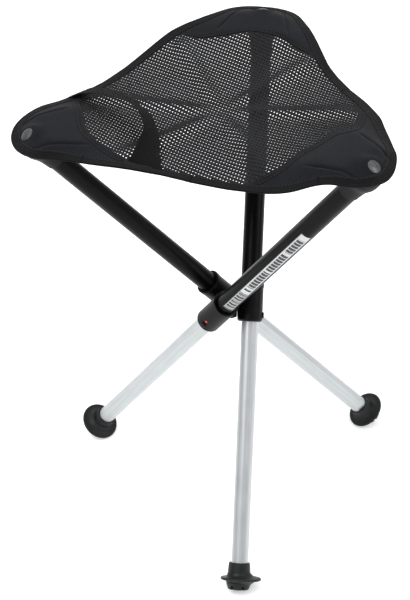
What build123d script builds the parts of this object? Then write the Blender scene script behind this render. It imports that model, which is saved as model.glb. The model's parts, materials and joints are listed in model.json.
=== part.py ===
"""Folding three-leg stool with telescopic legs and a mesh sling seat.

Three crossed legs lean round a central upright axis. Each leg swings on a radial pin in the hub, so the
whole stool closes into a bundle. The seat hangs from the three leg tops. Millimetres and degrees, +Z up,
floor at Z = 0, origin at the middle of the footprint.
"""

from math import atan2, cos, degrees, hypot, radians, sin

from build123d import *
import os

# Frame
LEG_AZIMUTHS = {"a": 120.0, "b": 240.0, "c": 0.0}  # where each leg's pivot pin points, seen from above
LEG_TILT = 38.0  # lean of an open leg from the upright
PIVOT_RADIUS = 26.0  # central axis to the axis of a leg
UPPER_REACH = 353.0  # pivot to the crown of the seat rivet, along the leg
LOWER_REACH = 326.0  # pivot to the middle of the foot's flange, along the leg
FLANGE_HEIGHT = 16.9  # flange's middle above the floor
HUB_HEIGHT = FLANGE_HEIGHT + LOWER_REACH * cos(radians(LEG_TILT))
RUNNING_GAP = 0.1  # radial clearance of a sliding or turning fit
LOOSE_GAP = 0.3  # clearance between parts that only pass each other

# Upper tube and its cap
UPPER_RADIUS = 12.0
UPPER_WALL = 1.2
UPPER_START = 9.0
UPPER_END = UPPER_REACH - 15.0
CAP_SKIRT_END = UPPER_REACH - 50.0
CAP_PLUG_END = UPPER_REACH - 35.0
CAP_RADIUS = 18.5
CAP_CROWN = UPPER_REACH - 2.5
CAP_FACE_RADIUS = 8.5
CAP_PLUG_RADIUS = UPPER_RADIUS - UPPER_WALL - 0.2
CAP_BAND_HEIGHT = 5.0  # straight band round the cap at its widest
CAP_NECK = (UPPER_RADIUS + 1.4, CAP_SKIRT_END + 6.0)  # radius, then distance up the leg
CAP_FLARE = (UPPER_RADIUS + 3.2, CAP_SKIRT_END + 19.0)
CAP_SHOULDER = (CAP_RADIUS - 3.0, CAP_CROWN - 4.5)

# Lower tube, which has one flat side facing the central axis
LOWER_RADIUS = 10.5
LOWER_WALL = 1.3
LOWER_FLAT = 9.0  # tube axis to the flat
LOWER_INNER_END = 30.0
LOWER_OUTER_END = LOWER_REACH - 1.0
BUSH_LENGTH = 12.0
BUSH_SPIGOT_RADIUS = 7.0
BUSH_SPIGOT_LENGTH = 18.0

# Collar, hub and pivot pins
COLLAR_RADIUS = 15.0
COLLAR_TOP = 25.0
COLLAR_BOTTOM = 21.0
COLLAR_LIP_RADIUS = 15.6
COLLAR_LIP_HEIGHT = 5.0
COLLAR_ROUNDING = 3.0
COLLAR_MOUTH_DEPTH = 3.0
COLLAR_MOUTH_GAP = 0.9
BOSS_RADIUS = 9.0
HUB_FACE = 10.2  # central axis to each face that a collar's boss turns on
HUB_CORNER = 14.5
HUB_HALF_HEIGHT = 13.0
PIN_RADIUS = 3.0
PIN_INNER_END = 4.0
PIN_HEAD_RADIUS = 4.8
PIN_HEAD_FROM = 9.4  # leg axis to the pin head's inner and outer faces
PIN_HEAD_TO = 10.5
HEAD_RECESS_RADIUS = 5.2
HEAD_RECESS_TO = 10.6

# Release button, its spring and the red mark above it
BUTTON_DROP = 13.0  # pivot to the button, along the leg
BUTTON_RADIUS = 3.8
BUTTON_POCKET_RADIUS = 3.95
BUTTON_POCKET_FLOOR = 12.0
BUTTON_BACK = 13.9
BUTTON_FACE = 16.7
BUTTON_ROUNDING = 1.2
SPRING_WIRE = 0.5
SPRING_RADIUS = 2.2
MARK_DROP = 5.0
MARK_RADIUS = 1.5
MARK_BACK = 14.5
MARK_FACE = 15.15

# Foot: each outline point is a radius, then a height over the flange's middle
SOLE_DEPTH = 13.0
SOLE_RADIUS = 12.5
FOOT_OUTLINE = (
    (12.0, 19.0),
    (12.7, 18.2),
    (13.4, 7.0),
    (14.6, 3.0),
    (15.0, -5.0),
    (12.9, -11.0),
    (SOLE_RADIUS, -12.0),
    (11.5, -SOLE_DEPTH),
)
FLANGE_RADIUS = 24.2
FLANGE_SHIFT = 2.4  # the flange sits this far outwards, so that the feet clear each other when folded
FLANGE_ROOT = (11.5, 7.0)
FLANGE_UPPER = (15.8, 3.2)
FLANGE_LOWER = (17.0, -3.2)
FLANGE_BASE = (12.5, -6.5)
FLANGE_RIM = 1.7  # radius of its rounded rim
GROOVE_COUNT = 6
GROOVE_WIDTH = 3.2
GROOVE_LENGTH = 10.0
GROOVE_DEPTH = 4.5
SOLE_DIMPLE_RADIUS = 6.0
SOLE_DIMPLE_DEPTH = 2.5

# Seat rivet
RIVET_HEAD_RADIUS = 7.7
RIVET_HEAD_BASE = UPPER_REACH - 0.8
RIVET_CROWN = UPPER_REACH + 1.6
RIVET_SHANK_RADIUS = 2.2
RIVET_SHANK_END = UPPER_REACH - 17.0
RIVET_EDGE = 0.5

# Label on leg b
LABEL_FROM = 34.0
LABEL_TO = 217.0
LABEL_THICKNESS = 0.2
LABEL_MIDDLE = 30.0  # angle round the tube, from outwards
LABEL_HALF_ANGLE = 32.0

# Seat outline, seen from above
TOP_OUT = PIVOT_RADIUS
TOP_SIDE = UPPER_REACH * sin(radians(LEG_TILT))
RIVET_RADIUS = hypot(TOP_OUT, TOP_SIDE)  # central axis to each rivet
CORNER_TURN = degrees(atan2(TOP_SIDE, TOP_OUT))  # leg azimuth to the azimuth of its seat corner
CORNER_CENTRE = 180.0  # central axis to the centre of a corner's round
CORNER_ROUND = 56.0
CORNER_SWEEP = 60.0  # half the angle of a corner's round
WAIST = 151.0  # central axis to the middle of an edge
BINDING_WIDTH = 11.0
PATCH_EDGE = 150.0  # central axis to the inner edge of a corner patch
FOLD_LINE = RIVET_RADIUS - 38.0  # the seat bends here when it hangs down beside the leg
FOLD_TURN = 90.0 - CORNER_TURN  # the fold runs along the pivot pin, not quite square to the corner
SECTOR_GAP = 0.3  # half the slit between the seat's thirds

# Seat heights, measured from the rivets
RIVET_HEIGHT = HUB_HEIGHT + UPPER_REACH * cos(radians(LEG_TILT))
FOLD_HEIGHT = 2.0
CENTRE_HEIGHT = -22.0
WAIST_HEIGHT = -20.0
SEAT_THICKNESS = 2.4
PATCH_THICKNESS = 1.5
PATCH_SLOPE = 0.21  # rise of the patch from the fold line to the cap
PATCH_UNDERSIDE = UPPER_REACH - 2.3
BLOCK_BELOW = 60.0
BLOCK_HEIGHT = 90.0

# Elastic band over corner a, in that corner's own plan: along the corner, then across it
BAND_FRONT = (107.0, 92.0, -12.1)
BAND_REAR = (143.0, -76.0, -6.1)
BAND_RISE = 9.0  # height of its crown over the rivets
BAND_WIDTH = 20.0
BAND_THICKNESS = 1.6


def polar(radius, angle):
    return (radius * cos(radians(angle)), radius * sin(radians(angle)))


def leg_plane(name):
    """X points outwards along the pivot pin, Z up the leg."""
    outwards = Vector(*polar(1, LEG_AZIMUTHS[name]), 0)
    sideways = Vector(*polar(1, LEG_AZIMUTHS[name] + 90), 0)
    up_the_leg = sideways * sin(radians(LEG_TILT)) + Vector(0, 0, cos(radians(LEG_TILT)))
    pivot = outwards * PIVOT_RADIUS + Vector(0, 0, HUB_HEIGHT)
    return Plane(origin=pivot, x_dir=outwards, z_dir=up_the_leg)


def profile_plane(leg):
    """A plane through the leg's axis: X outwards, Y up the leg."""
    return Plane(origin=leg.origin, x_dir=leg.x_dir, z_dir=-leg.y_dir)


def radial_plane(leg, drop, distance):
    """A plane across the pivot's direction, that far out from the leg's axis."""
    centre = leg.origin - leg.z_dir * drop + leg.x_dir * distance
    return Plane(origin=centre, x_dir=leg.y_dir, z_dir=leg.x_dir)


def corner_plane(name, height=0.0):
    """X points to the seat corner of that leg, Z up, at a height over the rivets."""
    azimuth = LEG_AZIMUTHS[name] + CORNER_TURN
    return Plane(origin=(0, 0, RIVET_HEIGHT + height), x_dir=(*polar(1, azimuth), 0), z_dir=(0, 0, 1))


def leg_axis(leg):
    return Axis(leg.origin, leg.z_dir)


def d_section(radius, flat):
    """Draws a round section with one flat side towards the central axis, in the sketch that is open."""
    Circle(radius)
    with Locations((-flat - radius, 0)):
        Rectangle(2 * radius, 2 * radius, mode=Mode.SUBTRACT)


# Legs


def make_upper_tube(leg):
    with BuildPart() as tube:
        with BuildSketch(leg.offset(UPPER_START)):
            Circle(UPPER_RADIUS)
            Circle(UPPER_RADIUS - UPPER_WALL, mode=Mode.SUBTRACT)
        extrude(amount=UPPER_END - UPPER_START)
    return tube.part


def make_end_cap(leg):
    """A flared cap over the tube's end, with a plug inside the tube."""
    band_start = (CAP_RADIUS, UPPER_END - CAP_BAND_HEIGHT)
    band_end = (CAP_RADIUS, UPPER_END)
    with BuildPart() as cap:
        with BuildSketch(profile_plane(leg)):
            with BuildLine():
                Polyline(
                    (0, CAP_CROWN),
                    (0, CAP_PLUG_END),
                    (CAP_PLUG_RADIUS, CAP_PLUG_END),
                    (CAP_PLUG_RADIUS, UPPER_END),
                    (UPPER_RADIUS, UPPER_END),
                    (UPPER_RADIUS, CAP_SKIRT_END),
                    (UPPER_RADIUS + 1, CAP_SKIRT_END),
                    CAP_NECK,
                )
                Spline(CAP_NECK, CAP_FLARE, band_start, tangents=((0.1, 1), (0.1, 1)))
                Line(band_start, band_end)
                ThreePointArc(band_end, CAP_SHOULDER, (CAP_FACE_RADIUS, CAP_CROWN))
                Line((CAP_FACE_RADIUS, CAP_CROWN), (0, CAP_CROWN))
            make_face()
        revolve(axis=leg_axis(leg))
        with BuildSketch(leg.offset(CAP_CROWN)):
            Circle(RIVET_SHANK_RADIUS)
        extrude(amount=RIVET_SHANK_END - CAP_CROWN, mode=Mode.SUBTRACT)
    return cap.part


def make_rivet(leg):
    rim = (RIVET_HEAD_RADIUS, RIVET_HEAD_BASE + RIVET_EDGE)
    with BuildPart() as rivet:
        with BuildSketch(profile_plane(leg)):
            with BuildLine():
                Polyline(
                    (0, RIVET_CROWN),
                    (0, RIVET_SHANK_END),
                    (RIVET_SHANK_RADIUS, RIVET_SHANK_END),
                    (RIVET_SHANK_RADIUS, RIVET_HEAD_BASE),
                    (RIVET_HEAD_RADIUS, RIVET_HEAD_BASE),
                    rim,
                )
                TangentArc((0, RIVET_CROWN), rim, tangent=(1, 0))
            make_face()
        revolve(axis=leg_axis(leg))
    return rivet.part


def make_collar(leg):
    """Holds the upper tube, guides the lower tube and turns on the pivot pin."""
    with BuildPart() as collar:
        with BuildSketch(leg.offset(-COLLAR_BOTTOM)):
            Circle(COLLAR_RADIUS)
        extrude(amount=COLLAR_BOTTOM + COLLAR_TOP)
        fillet(collar.edges().group_by(leg_axis(leg))[0], radius=COLLAR_ROUNDING)
        with BuildSketch(leg.offset(COLLAR_TOP - COLLAR_LIP_HEIGHT)):
            Circle(COLLAR_LIP_RADIUS)
        extrude(amount=COLLAR_LIP_HEIGHT)
        chamfer(collar.edges().group_by(leg_axis(leg))[-1], length=0.5)
        with BuildSketch(radial_plane(leg, 0, -COLLAR_RADIUS + 3)):
            Circle(BOSS_RADIUS)
        extrude(amount=-(PIVOT_RADIUS - HUB_FACE - LOOSE_GAP - COLLAR_RADIUS + 3))
        with BuildSketch(leg.offset(UPPER_START)):
            Circle(UPPER_RADIUS)
        extrude(amount=COLLAR_TOP - UPPER_START, mode=Mode.SUBTRACT)
        with BuildSketch(leg.offset(COLLAR_TOP - COLLAR_MOUTH_DEPTH)):
            Circle(UPPER_RADIUS + COLLAR_MOUTH_GAP)
        extrude(amount=COLLAR_MOUTH_DEPTH, mode=Mode.SUBTRACT)
        with BuildSketch(leg.offset(-COLLAR_BOTTOM)):
            d_section(LOWER_RADIUS + RUNNING_GAP, LOWER_FLAT + RUNNING_GAP)
        extrude(amount=COLLAR_BOTTOM + UPPER_START, mode=Mode.SUBTRACT)
        with BuildSketch(radial_plane(leg, 0, -LOWER_FLAT)):
            Circle(HEAD_RECESS_RADIUS)
        extrude(amount=-(HEAD_RECESS_TO - LOWER_FLAT), mode=Mode.SUBTRACT)
        with BuildSketch(radial_plane(leg, 0, -LOWER_FLAT)):
            Circle(PIN_RADIUS + RUNNING_GAP)
        extrude(amount=-COLLAR_RADIUS, mode=Mode.SUBTRACT)
        with BuildSketch(radial_plane(leg, BUTTON_DROP, BUTTON_POCKET_FLOOR)):
            Circle(BUTTON_POCKET_RADIUS)
        extrude(amount=COLLAR_RADIUS, mode=Mode.SUBTRACT)
        with BuildSketch(radial_plane(leg, MARK_DROP, MARK_BACK)):
            Circle(MARK_RADIUS)
        extrude(amount=COLLAR_RADIUS, mode=Mode.SUBTRACT)
    return collar.part


def make_lower_tube(leg):
    length = LOWER_INNER_END + LOWER_OUTER_END
    with BuildPart() as tube:
        with BuildSketch(leg.offset(-LOWER_OUTER_END)):
            d_section(LOWER_RADIUS, LOWER_FLAT)
        extrude(amount=length)
        with BuildSketch(leg.offset(-LOWER_OUTER_END)):
            d_section(LOWER_RADIUS - LOWER_WALL, LOWER_FLAT - LOWER_WALL)
        extrude(amount=length, mode=Mode.SUBTRACT)
    return tube.part


def make_guide_bush(leg):
    """Slides inside the upper tube, on the lower tube's inner end."""
    with BuildPart() as bush:
        with BuildSketch(leg.offset(LOWER_INNER_END)):
            Circle(UPPER_RADIUS - UPPER_WALL - RUNNING_GAP)
        extrude(amount=BUSH_LENGTH)
        chamfer(bush.edges().group_by(leg_axis(leg))[-1], length=0.8)
        with BuildSketch(leg.offset(LOWER_INNER_END)):
            Circle(BUSH_SPIGOT_RADIUS)
        extrude(amount=-BUSH_SPIGOT_LENGTH)
    return bush.part


def make_foot(leg):
    """A rubber foot: a neck round the tube, a wide thin flange and a lugged sole."""
    base = -LOWER_REACH
    profile = profile_plane(leg)
    flange_axis = Axis(leg.origin + leg.x_dir * FLANGE_SHIFT, leg.z_dir)
    outline_points = [(radius, base + height) for radius, height in FOOT_OUTLINE]
    root, upper, lower, under = (
        (FLANGE_SHIFT + radius, base + height)
        for radius, height in (FLANGE_ROOT, FLANGE_UPPER, FLANGE_LOWER, FLANGE_BASE)
    )
    rim = FLANGE_SHIFT + FLANGE_RADIUS
    rim_top, rim_bottom = ((rim - FLANGE_RIM, base + side * FLANGE_RIM) for side in (1, -1))
    with BuildPart() as foot:
        with BuildSketch(profile):
            with BuildLine():
                Polyline((0, base - SOLE_DEPTH), (0, outline_points[0][1]), *outline_points, close=True)
            make_face()
        revolve(axis=leg_axis(leg))
        with BuildSketch(profile):
            with BuildLine():
                ThreePointArc(root, upper, rim_top)
                ThreePointArc(rim_top, (rim, base), rim_bottom)
                ThreePointArc(rim_bottom, lower, under)
                Polyline(under, (FLANGE_SHIFT, under[1]), (FLANGE_SHIFT, root[1]), root)
            make_face()
        revolve(axis=flange_axis)
        with BuildSketch(leg.offset(base - SOLE_DEPTH)):
            with PolarLocations(SOLE_RADIUS, GROOVE_COUNT):
                Rectangle(GROOVE_LENGTH, GROOVE_WIDTH)
            Circle(SOLE_DIMPLE_RADIUS)
        extrude(amount=GROOVE_DEPTH, mode=Mode.SUBTRACT)
        with BuildSketch(leg.offset(-LOWER_OUTER_END)):
            d_section(LOWER_RADIUS, LOWER_FLAT)
        extrude(amount=LOWER_REACH, mode=Mode.SUBTRACT)
        split(bisect_by=Plane.XY, keep=Keep.TOP)
    return foot.part


# Lock parts


def make_button(leg):
    with BuildPart() as button:
        with BuildSketch(radial_plane(leg, BUTTON_DROP, BUTTON_BACK)):
            Circle(BUTTON_RADIUS)
        extrude(amount=BUTTON_FACE - BUTTON_BACK)
        fillet(button.edges().group_by(Axis(leg.origin, leg.x_dir))[-1], radius=BUTTON_ROUNDING)
    return button.part


def make_button_spring(leg):
    room = BUTTON_BACK - BUTTON_POCKET_FLOOR - SPRING_WIRE
    start = BUTTON_POCKET_FLOOR + SPRING_WIRE / 2
    centre = leg.origin - leg.z_dir * BUTTON_DROP + leg.x_dir * start
    with BuildPart() as spring:
        with BuildLine() as coil:
            Helix(pitch=room / 2, height=room, radius=SPRING_RADIUS, center=centre, direction=leg.x_dir)
        with BuildSketch(Plane(origin=coil.line @ 0, z_dir=coil.line % 0)):
            Circle(SPRING_WIRE / 2)
        sweep(is_frenet=True)
    return spring.part


def make_mark(leg):
    with BuildPart() as mark:
        with BuildSketch(radial_plane(leg, MARK_DROP, MARK_BACK)):
            Circle(MARK_RADIUS)
        extrude(amount=MARK_FACE - MARK_BACK)
    return mark.part


def make_label(leg):
    reach = 2 * UPPER_RADIUS
    low, high = LABEL_MIDDLE - LABEL_HALF_ANGLE, LABEL_MIDDLE + LABEL_HALF_ANGLE
    with BuildPart() as label:
        with BuildSketch(leg.offset(LABEL_FROM)):
            with BuildLine():
                Polyline((0, 0), polar(reach, low), polar(reach, high), close=True)
            make_face()
            Circle(UPPER_RADIUS + LABEL_THICKNESS, mode=Mode.INTERSECT)
            Circle(UPPER_RADIUS, mode=Mode.SUBTRACT)
        extrude(amount=LABEL_TO - LABEL_FROM)
    return label.part


# Hub


def make_hub_core():
    middle = Plane.XY.offset(HUB_HEIGHT - HUB_HALF_HEIGHT)
    with BuildPart() as hub:
        with BuildSketch(middle):
            RegularPolygon(HUB_FACE, 3, major_radius=False, rotation=180)
            RegularPolygon(HUB_CORNER, 3, major_radius=False, rotation=0, mode=Mode.INTERSECT)
        extrude(amount=2 * HUB_HALF_HEIGHT)
        chamfer(hub.edges().group_by(Axis.Z)[0] + hub.edges().group_by(Axis.Z)[-1], length=1)
        for name in LEG_AZIMUTHS:
            leg = leg_plane(name)
            with BuildSketch(radial_plane(leg, 0, -(PIVOT_RADIUS - PIN_INNER_END))):
                Circle(PIN_RADIUS)
            extrude(amount=HUB_FACE, mode=Mode.SUBTRACT)
    return hub.part


def make_pivot_pins():
    with BuildPart() as pins:
        for name in LEG_AZIMUTHS:
            leg = leg_plane(name)
            with BuildSketch(radial_plane(leg, 0, -(PIVOT_RADIUS - PIN_INNER_END))):
                Circle(PIN_RADIUS)
            extrude(amount=PIVOT_RADIUS - PIN_INNER_END - PIN_HEAD_TO)
            with BuildSketch(radial_plane(leg, 0, -PIN_HEAD_TO)):
                Circle(PIN_HEAD_RADIUS)
            extrude(amount=PIN_HEAD_TO - PIN_HEAD_FROM)
    return pins.part


# Seat: three thirds, each hanging from one leg's top


def outline(shrink=0.0):
    """The seat's whole plan as one sketch on XY, with a corner along +X, drawn in by a margin."""
    corner_round = CORNER_ROUND - shrink
    with BuildSketch(Plane.XY) as plan:
        with BuildLine():
            for turn in (0.0, 120.0, 240.0):
                centre = Vector(*polar(CORNER_CENTRE, turn))
                ends = [centre + Vector(*polar(corner_round, turn + side)) for side in (-CORNER_SWEEP, CORNER_SWEEP)]
                tip = Vector(*polar(CORNER_CENTRE + corner_round, turn))
                ThreePointArc(ends[0], tip, ends[1])
                following = Vector(*polar(CORNER_CENTRE, turn + 120))
                meeting = following + Vector(*polar(corner_round, turn + 120 - CORNER_SWEEP))
                ThreePointArc(ends[1], polar(WAIST - shrink, turn + 60), meeting)
        make_face()
    return plan.sketch


def third(low, high):
    """The plan area of one third of the seat, between two lines parallel to its leg's pivot pin."""
    far = 4 * RIVET_RADIUS
    tip = SECTOR_GAP / sin(radians(60))
    with BuildSketch(Plane.XY) as wedge:
        with BuildLine():
            side = Vector(tip, 0) + Vector(*polar(far, 60))
            Polyline((tip, 0), side, (side.X, -side.Y), close=True)
        make_face()
        with Locations(Location(polar((low + high) / 2, FOLD_TURN), FOLD_TURN)):
            Rectangle(high - low, 2 * far, mode=Mode.INTERSECT)
    return wedge.sketch


def placed(sketch, plane):
    """A plan sketch moved from XY to a seat corner's plane."""
    return plane.location * sketch


def plan_plane(name, inside, toward, beyond):
    """A sloping plane through three points given in a corner's own plan, with its normal upwards."""
    corner = corner_plane(name)
    first, second, last = (corner.from_local_coords(Vector(*point)) for point in (inside, toward, beyond))
    normal = (second - first).cross(last - first)
    return Plane(origin=first, x_dir=second - first, z_dir=normal if normal.Z > 0 else -normal)


def half_plan(side):
    """The plan area on one side of a corner's middle line."""
    reach = 2 * RIVET_RADIUS
    with BuildSketch(Plane.XY) as half:
        with Locations((0, side * reach / 2)):
            Rectangle(2 * reach, reach)
    return half.sketch


def sling_plate(name, plan):
    """A plate over a plan area, following the seat's slopes on both sides of its corner's middle line."""
    start = corner_plane(name, -BLOCK_BELOW)
    halves = []
    for side in (1, -1):
        waist = (*polar(WAIST, 60 * side), WAIST_HEIGHT)
        top = plan_plane(name, (0, 0, CENTRE_HEIGHT), (FOLD_LINE, 0, FOLD_HEIGHT), waist)
        area = placed(plan & half_plan(side), start)
        with BuildPart() as half:
            add(area)
            extrude(amount=BLOCK_HEIGHT)
            split(bisect_by=top, keep=Keep.BOTTOM)
            split(bisect_by=top.offset(-SEAT_THICKNESS), keep=Keep.TOP)
        halves.append(half.part)
    with BuildPart() as plate:
        add(halves)
    return plate.part


def make_corner_patch(name, leg):
    """The solid fabric over the leg's end, from the fold line to the tip, bent over the cap."""
    plan = outline() & third(FOLD_LINE + SECTOR_GAP, 2 * RIVET_RADIUS)
    start = corner_plane(name, -BLOCK_BELOW)
    low_edge = FOLD_HEIGHT - SEAT_THICKNESS
    near = (FOLD_LINE, 0, low_edge)
    across = (FOLD_LINE - sin(radians(FOLD_TURN)), cos(radians(FOLD_TURN)), low_edge)
    far = (FOLD_LINE + 1, 0, low_edge + PATCH_SLOPE)
    roof = plan_plane(name, near, far, across)
    face = leg.offset(PATCH_UNDERSIDE)
    area = placed(plan, start)
    layers = []
    for thickness in (PATCH_THICKNESS, 0.0):
        with BuildPart() as layer:
            add(area)
            extrude(amount=BLOCK_HEIGHT)
            split(bisect_by=roof.offset(thickness), keep=Keep.BOTTOM)
            split(bisect_by=face.offset(thickness), keep=Keep.BOTTOM)
        layers.append(layer.part)
    with BuildPart() as patch:
        add(layers[0])
        add(layers[1], mode=Mode.SUBTRACT)
        with BuildSketch(face.offset(-1)):
            Circle(RIVET_SHANK_RADIUS + LOOSE_GAP)
        extrude(amount=2 * PATCH_THICKNESS, mode=Mode.SUBTRACT)
    return patch.part


def make_band():
    """An elastic band that arches over corner a, from edge to edge."""
    corner = corner_plane("a")
    front = corner.from_local_coords(Vector(*BAND_FRONT))
    rear = corner.from_local_coords(Vector(*BAND_REAR))
    along = Vector(rear.X - front.X, rear.Y - front.Y, 0)
    upright = Plane(origin=front, x_dir=along, z_dir=along.cross(Vector(0, 0, 1)))
    span = along.length
    rise = BAND_RISE - BAND_FRONT[2]
    end = BAND_REAR[2] - BAND_FRONT[2]
    with BuildPart() as band:
        with BuildSketch(upright.offset(-BAND_WIDTH / 2)):
            with BuildLine():
                ThreePointArc((0, 0), (span / 2, rise), (span, end))
                Line((span, end), (span, end + BAND_THICKNESS))
                ThreePointArc((span, end + BAND_THICKNESS), (span / 2, rise + BAND_THICKNESS), (0, BAND_THICKNESS))
                Line((0, BAND_THICKNESS), (0, 0))
            make_face()
        extrude(amount=BAND_WIDTH)
    return band.part


def build():
    pieces = {"hub_core": make_hub_core(), "pivot_pins": make_pivot_pins()}
    whole = outline()
    inner = outline(BINDING_WIDTH)
    for name in LEG_AZIMUTHS:
        leg = leg_plane(name)
        pieces[f"upper_tube_{name}"] = make_upper_tube(leg)
        pieces[f"end_cap_{name}"] = make_end_cap(leg)
        pieces[f"seat_rivet_{name}"] = make_rivet(leg)
        pieces[f"collar_{name}"] = make_collar(leg)
        pieces[f"lower_tube_{name}"] = make_lower_tube(leg)
        pieces[f"guide_bush_{name}"] = make_guide_bush(leg)
        pieces[f"foot_{name}"] = make_foot(leg)
        pieces[f"release_button_{name}"] = make_button(leg)
        pieces[f"button_spring_{name}"] = make_button_spring(leg)
        pieces[f"release_mark_{name}"] = make_mark(leg)
        pieces[f"corner_patch_{name}"] = make_corner_patch(name, leg)
        pieces[f"patch_tail_{name}"] = sling_plate(name, inner & third(PATCH_EDGE, FOLD_LINE))
        pieces[f"seat_mesh_{name}"] = sling_plate(name, inner & third(0, PATCH_EDGE))
        pieces[f"edge_binding_{name}"] = sling_plate(name, (whole - inner) & third(0, FOLD_LINE))
    pieces["leg_label"] = make_label(leg_plane("b"))
    pieces["corner_band"] = make_band()
    return pieces


pieces = build()
boxes = [piece.bounding_box() for piece in pieces.values()]
middle_x = (min(box.min.X for box in boxes) + max(box.max.X for box in boxes)) / 2
middle_y = (min(box.min.Y for box in boxes) + max(box.max.Y for box in boxes)) / 2
print("central axis at", round(-middle_x, 4), round(-middle_y, 4), "hub height", round(HUB_HEIGHT, 4))
print("rivet height", round(RIVET_HEIGHT, 3), "corner turn", round(CORNER_TURN, 4))

os.makedirs("parts", exist_ok=True)
for name, piece in pieces.items():
    finished = piece.moved(Location((-middle_x, -middle_y, 0)))
    finished.label = name
    export_step(finished, f"parts/{name}.step")
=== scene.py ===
"""The look of the folding three-leg stool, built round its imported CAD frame.

The seat is worked out in millimetres on a plan whose origin is the hub's axis at the height of the rivets,
and turned into metres in the row frame when a mesh is made. Everything else is in metres.
"""

import json
from math import atan2, cos, degrees, pi, radians, sin

import bmesh
import bpy
import numpy as np
from mathutils import Matrix, Vector


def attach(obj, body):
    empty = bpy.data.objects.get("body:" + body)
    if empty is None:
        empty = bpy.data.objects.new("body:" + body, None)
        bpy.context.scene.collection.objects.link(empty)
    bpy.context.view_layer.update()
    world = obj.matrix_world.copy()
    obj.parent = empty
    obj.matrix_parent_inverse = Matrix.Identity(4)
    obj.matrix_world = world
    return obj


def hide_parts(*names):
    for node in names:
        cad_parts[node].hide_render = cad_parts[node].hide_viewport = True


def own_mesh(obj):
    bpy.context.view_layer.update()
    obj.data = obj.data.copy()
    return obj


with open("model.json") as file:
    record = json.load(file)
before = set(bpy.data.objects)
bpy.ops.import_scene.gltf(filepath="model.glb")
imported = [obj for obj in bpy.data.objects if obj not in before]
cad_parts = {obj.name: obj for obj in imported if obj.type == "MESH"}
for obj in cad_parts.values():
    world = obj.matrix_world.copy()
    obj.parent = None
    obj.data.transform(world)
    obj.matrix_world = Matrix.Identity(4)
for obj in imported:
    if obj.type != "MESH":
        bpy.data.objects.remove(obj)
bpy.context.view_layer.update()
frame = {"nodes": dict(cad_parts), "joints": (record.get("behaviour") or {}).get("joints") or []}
joints = {joint["name"]: joint for joint in frame["joints"]}
nodes = frame["nodes"]

# ---- dimensions

MM = 0.001
LEGS = "abc"
RIVET_REACH = 353.0  # pivot to the crown of the rivet, along the leg
RIVET_HEAD_RADIUS = 7.7
CAP_CROWN = 350.5  # pivot to the flat end of the cap, along the leg

CORNER_CENTRE = 180.0  # hub axis to the centre of a corner's round
CORNER_ROUND = 56.0
CORNER_SWEEP = 60.0
WAIST = 151.0  # hub axis to the middle of an edge
FOLD_FROM_RIVET = 38.0

BINDING_WIDTH = 11.5
BINDING_THICKNESS = 2.6
BINDING_ANCHOR = 1.5  # the tape takes its height from the seat at least this far in
PATCH_THICKNESS = 1.5
HEM_WIDTH = 8.0
HEM_THICKNESS = 2.6
HEM_ROWS = 120
NET_THICKNESS = 1.4
NET_ROW = (3.8, -30.0)  # spacing of the holes along a row, then the row's direction seen from above
NET_COLUMN = (5.8, 83.0)
HOLE_SHARE = 0.26  # a hole's radius as a share of the spacing
HOLE_SIDES = 8
NET_LAYOUT = 1.6  # how far the holes are laid out before the net is cut, as a share of the grid's reach
NET_MARGIN = 3.0  # how far the net runs in under the binding and the patches
NET_CROSSING = 0.24  # how much thicker the net is where its yarns cross
NET_WAIST = 0.12  # and how much thinner round a hole
PATCH_MARGIN = 4.0  # how far a patch runs in under the binding
PATCH_ROWS = 260
CORNER_COLUMNS = 48
TAIL_COLUMNS = 30
NARROWEST = 0.4  # a row of cloth shorter than this is left out
CRESCENT_SHARE = 0.35  # a cloth that fills less of its width and length than this is laid straight

OUTLINE_STEP = 1.2
ARC_POINTS = 240
GRID_STEP = 2.5
GRID_REACH = 250.0
SEAT_LOAD = 0.0011  # curvature of the fabric's own sag, in 1/mm
SEAT_SWEEPS = 900
OVER_RELAXATION = 1.9
CAP_GAP = 0.25
RIVET_LIFT = 0.9  # the fabric's middle over the cap's flat end, where the rivet clamps it
RIVET_HOLD = 9.0  # how far beyond the rivet's head its clamp is felt, and over what distance it fades
RIVET_FADE = 8.0

PLEAT_HEIGHT = 3.2
PLEAT_HALF_WIDTH = 8
PLEAT_SPREAD = 4
PLEAT_FADE = 45
PLEAT_OVERRUN = 25
PLEAT_EDGE_FADE = 18
EDGE_FADE = 10  # the seat's softening fades out over this distance from its edge

# Height of the seat's edge over the rivets, by angle from the nearest corner
EDGE_ANGLES = (0, 5, 13, 19, 30, 45, 60)
EDGE_HEIGHTS = (-13, -12, -9, -8, -11, -17, -20)

# Where the real edge strays from that: by nearest corner, degrees past it, then how much further out
# and how much higher
EDGE_STRAYS = {
    "a": (
        (-58, 2.5, 4.5), (-48, 0.5, 1), (-38, -1, -1), (-24, -1, -1), (-16, 3, 4), (-10, 2, 2),
        (0, -1, 0), (14, -1.5, 1), (25, -2, 2.5), (35, -4.5, 4.5), (47, -6, 5), (58, -4, 4),
    ),
    "b": (
        (-52, -1, 1), (-40, 3, -3), (-30, 6, -6.5), (-24, 5, -5), (-15, -3, 3.5), (-6, -1, 1), (0, 0, 0),
        (8, -3.5, 0), (15, 0, 0), (22, 2.5, 2), (30, 6.5, 4), (45, 6, 3), (56, 3, 1),
    ),
    "c": (
        (-48, -2, -1), (-38, -4, -1.5), (-29, -1.5, 0), (-20, 3, 1), (-15, 4.5, 1.5), (-9, 4, 4),
        (0, 0.5, 7), (12, 4, 6), (20, 6, 8), (26, 9, 10), (33, 10, 11), (42, 8, 9), (52, 5, 6.5),
    ),
}

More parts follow.
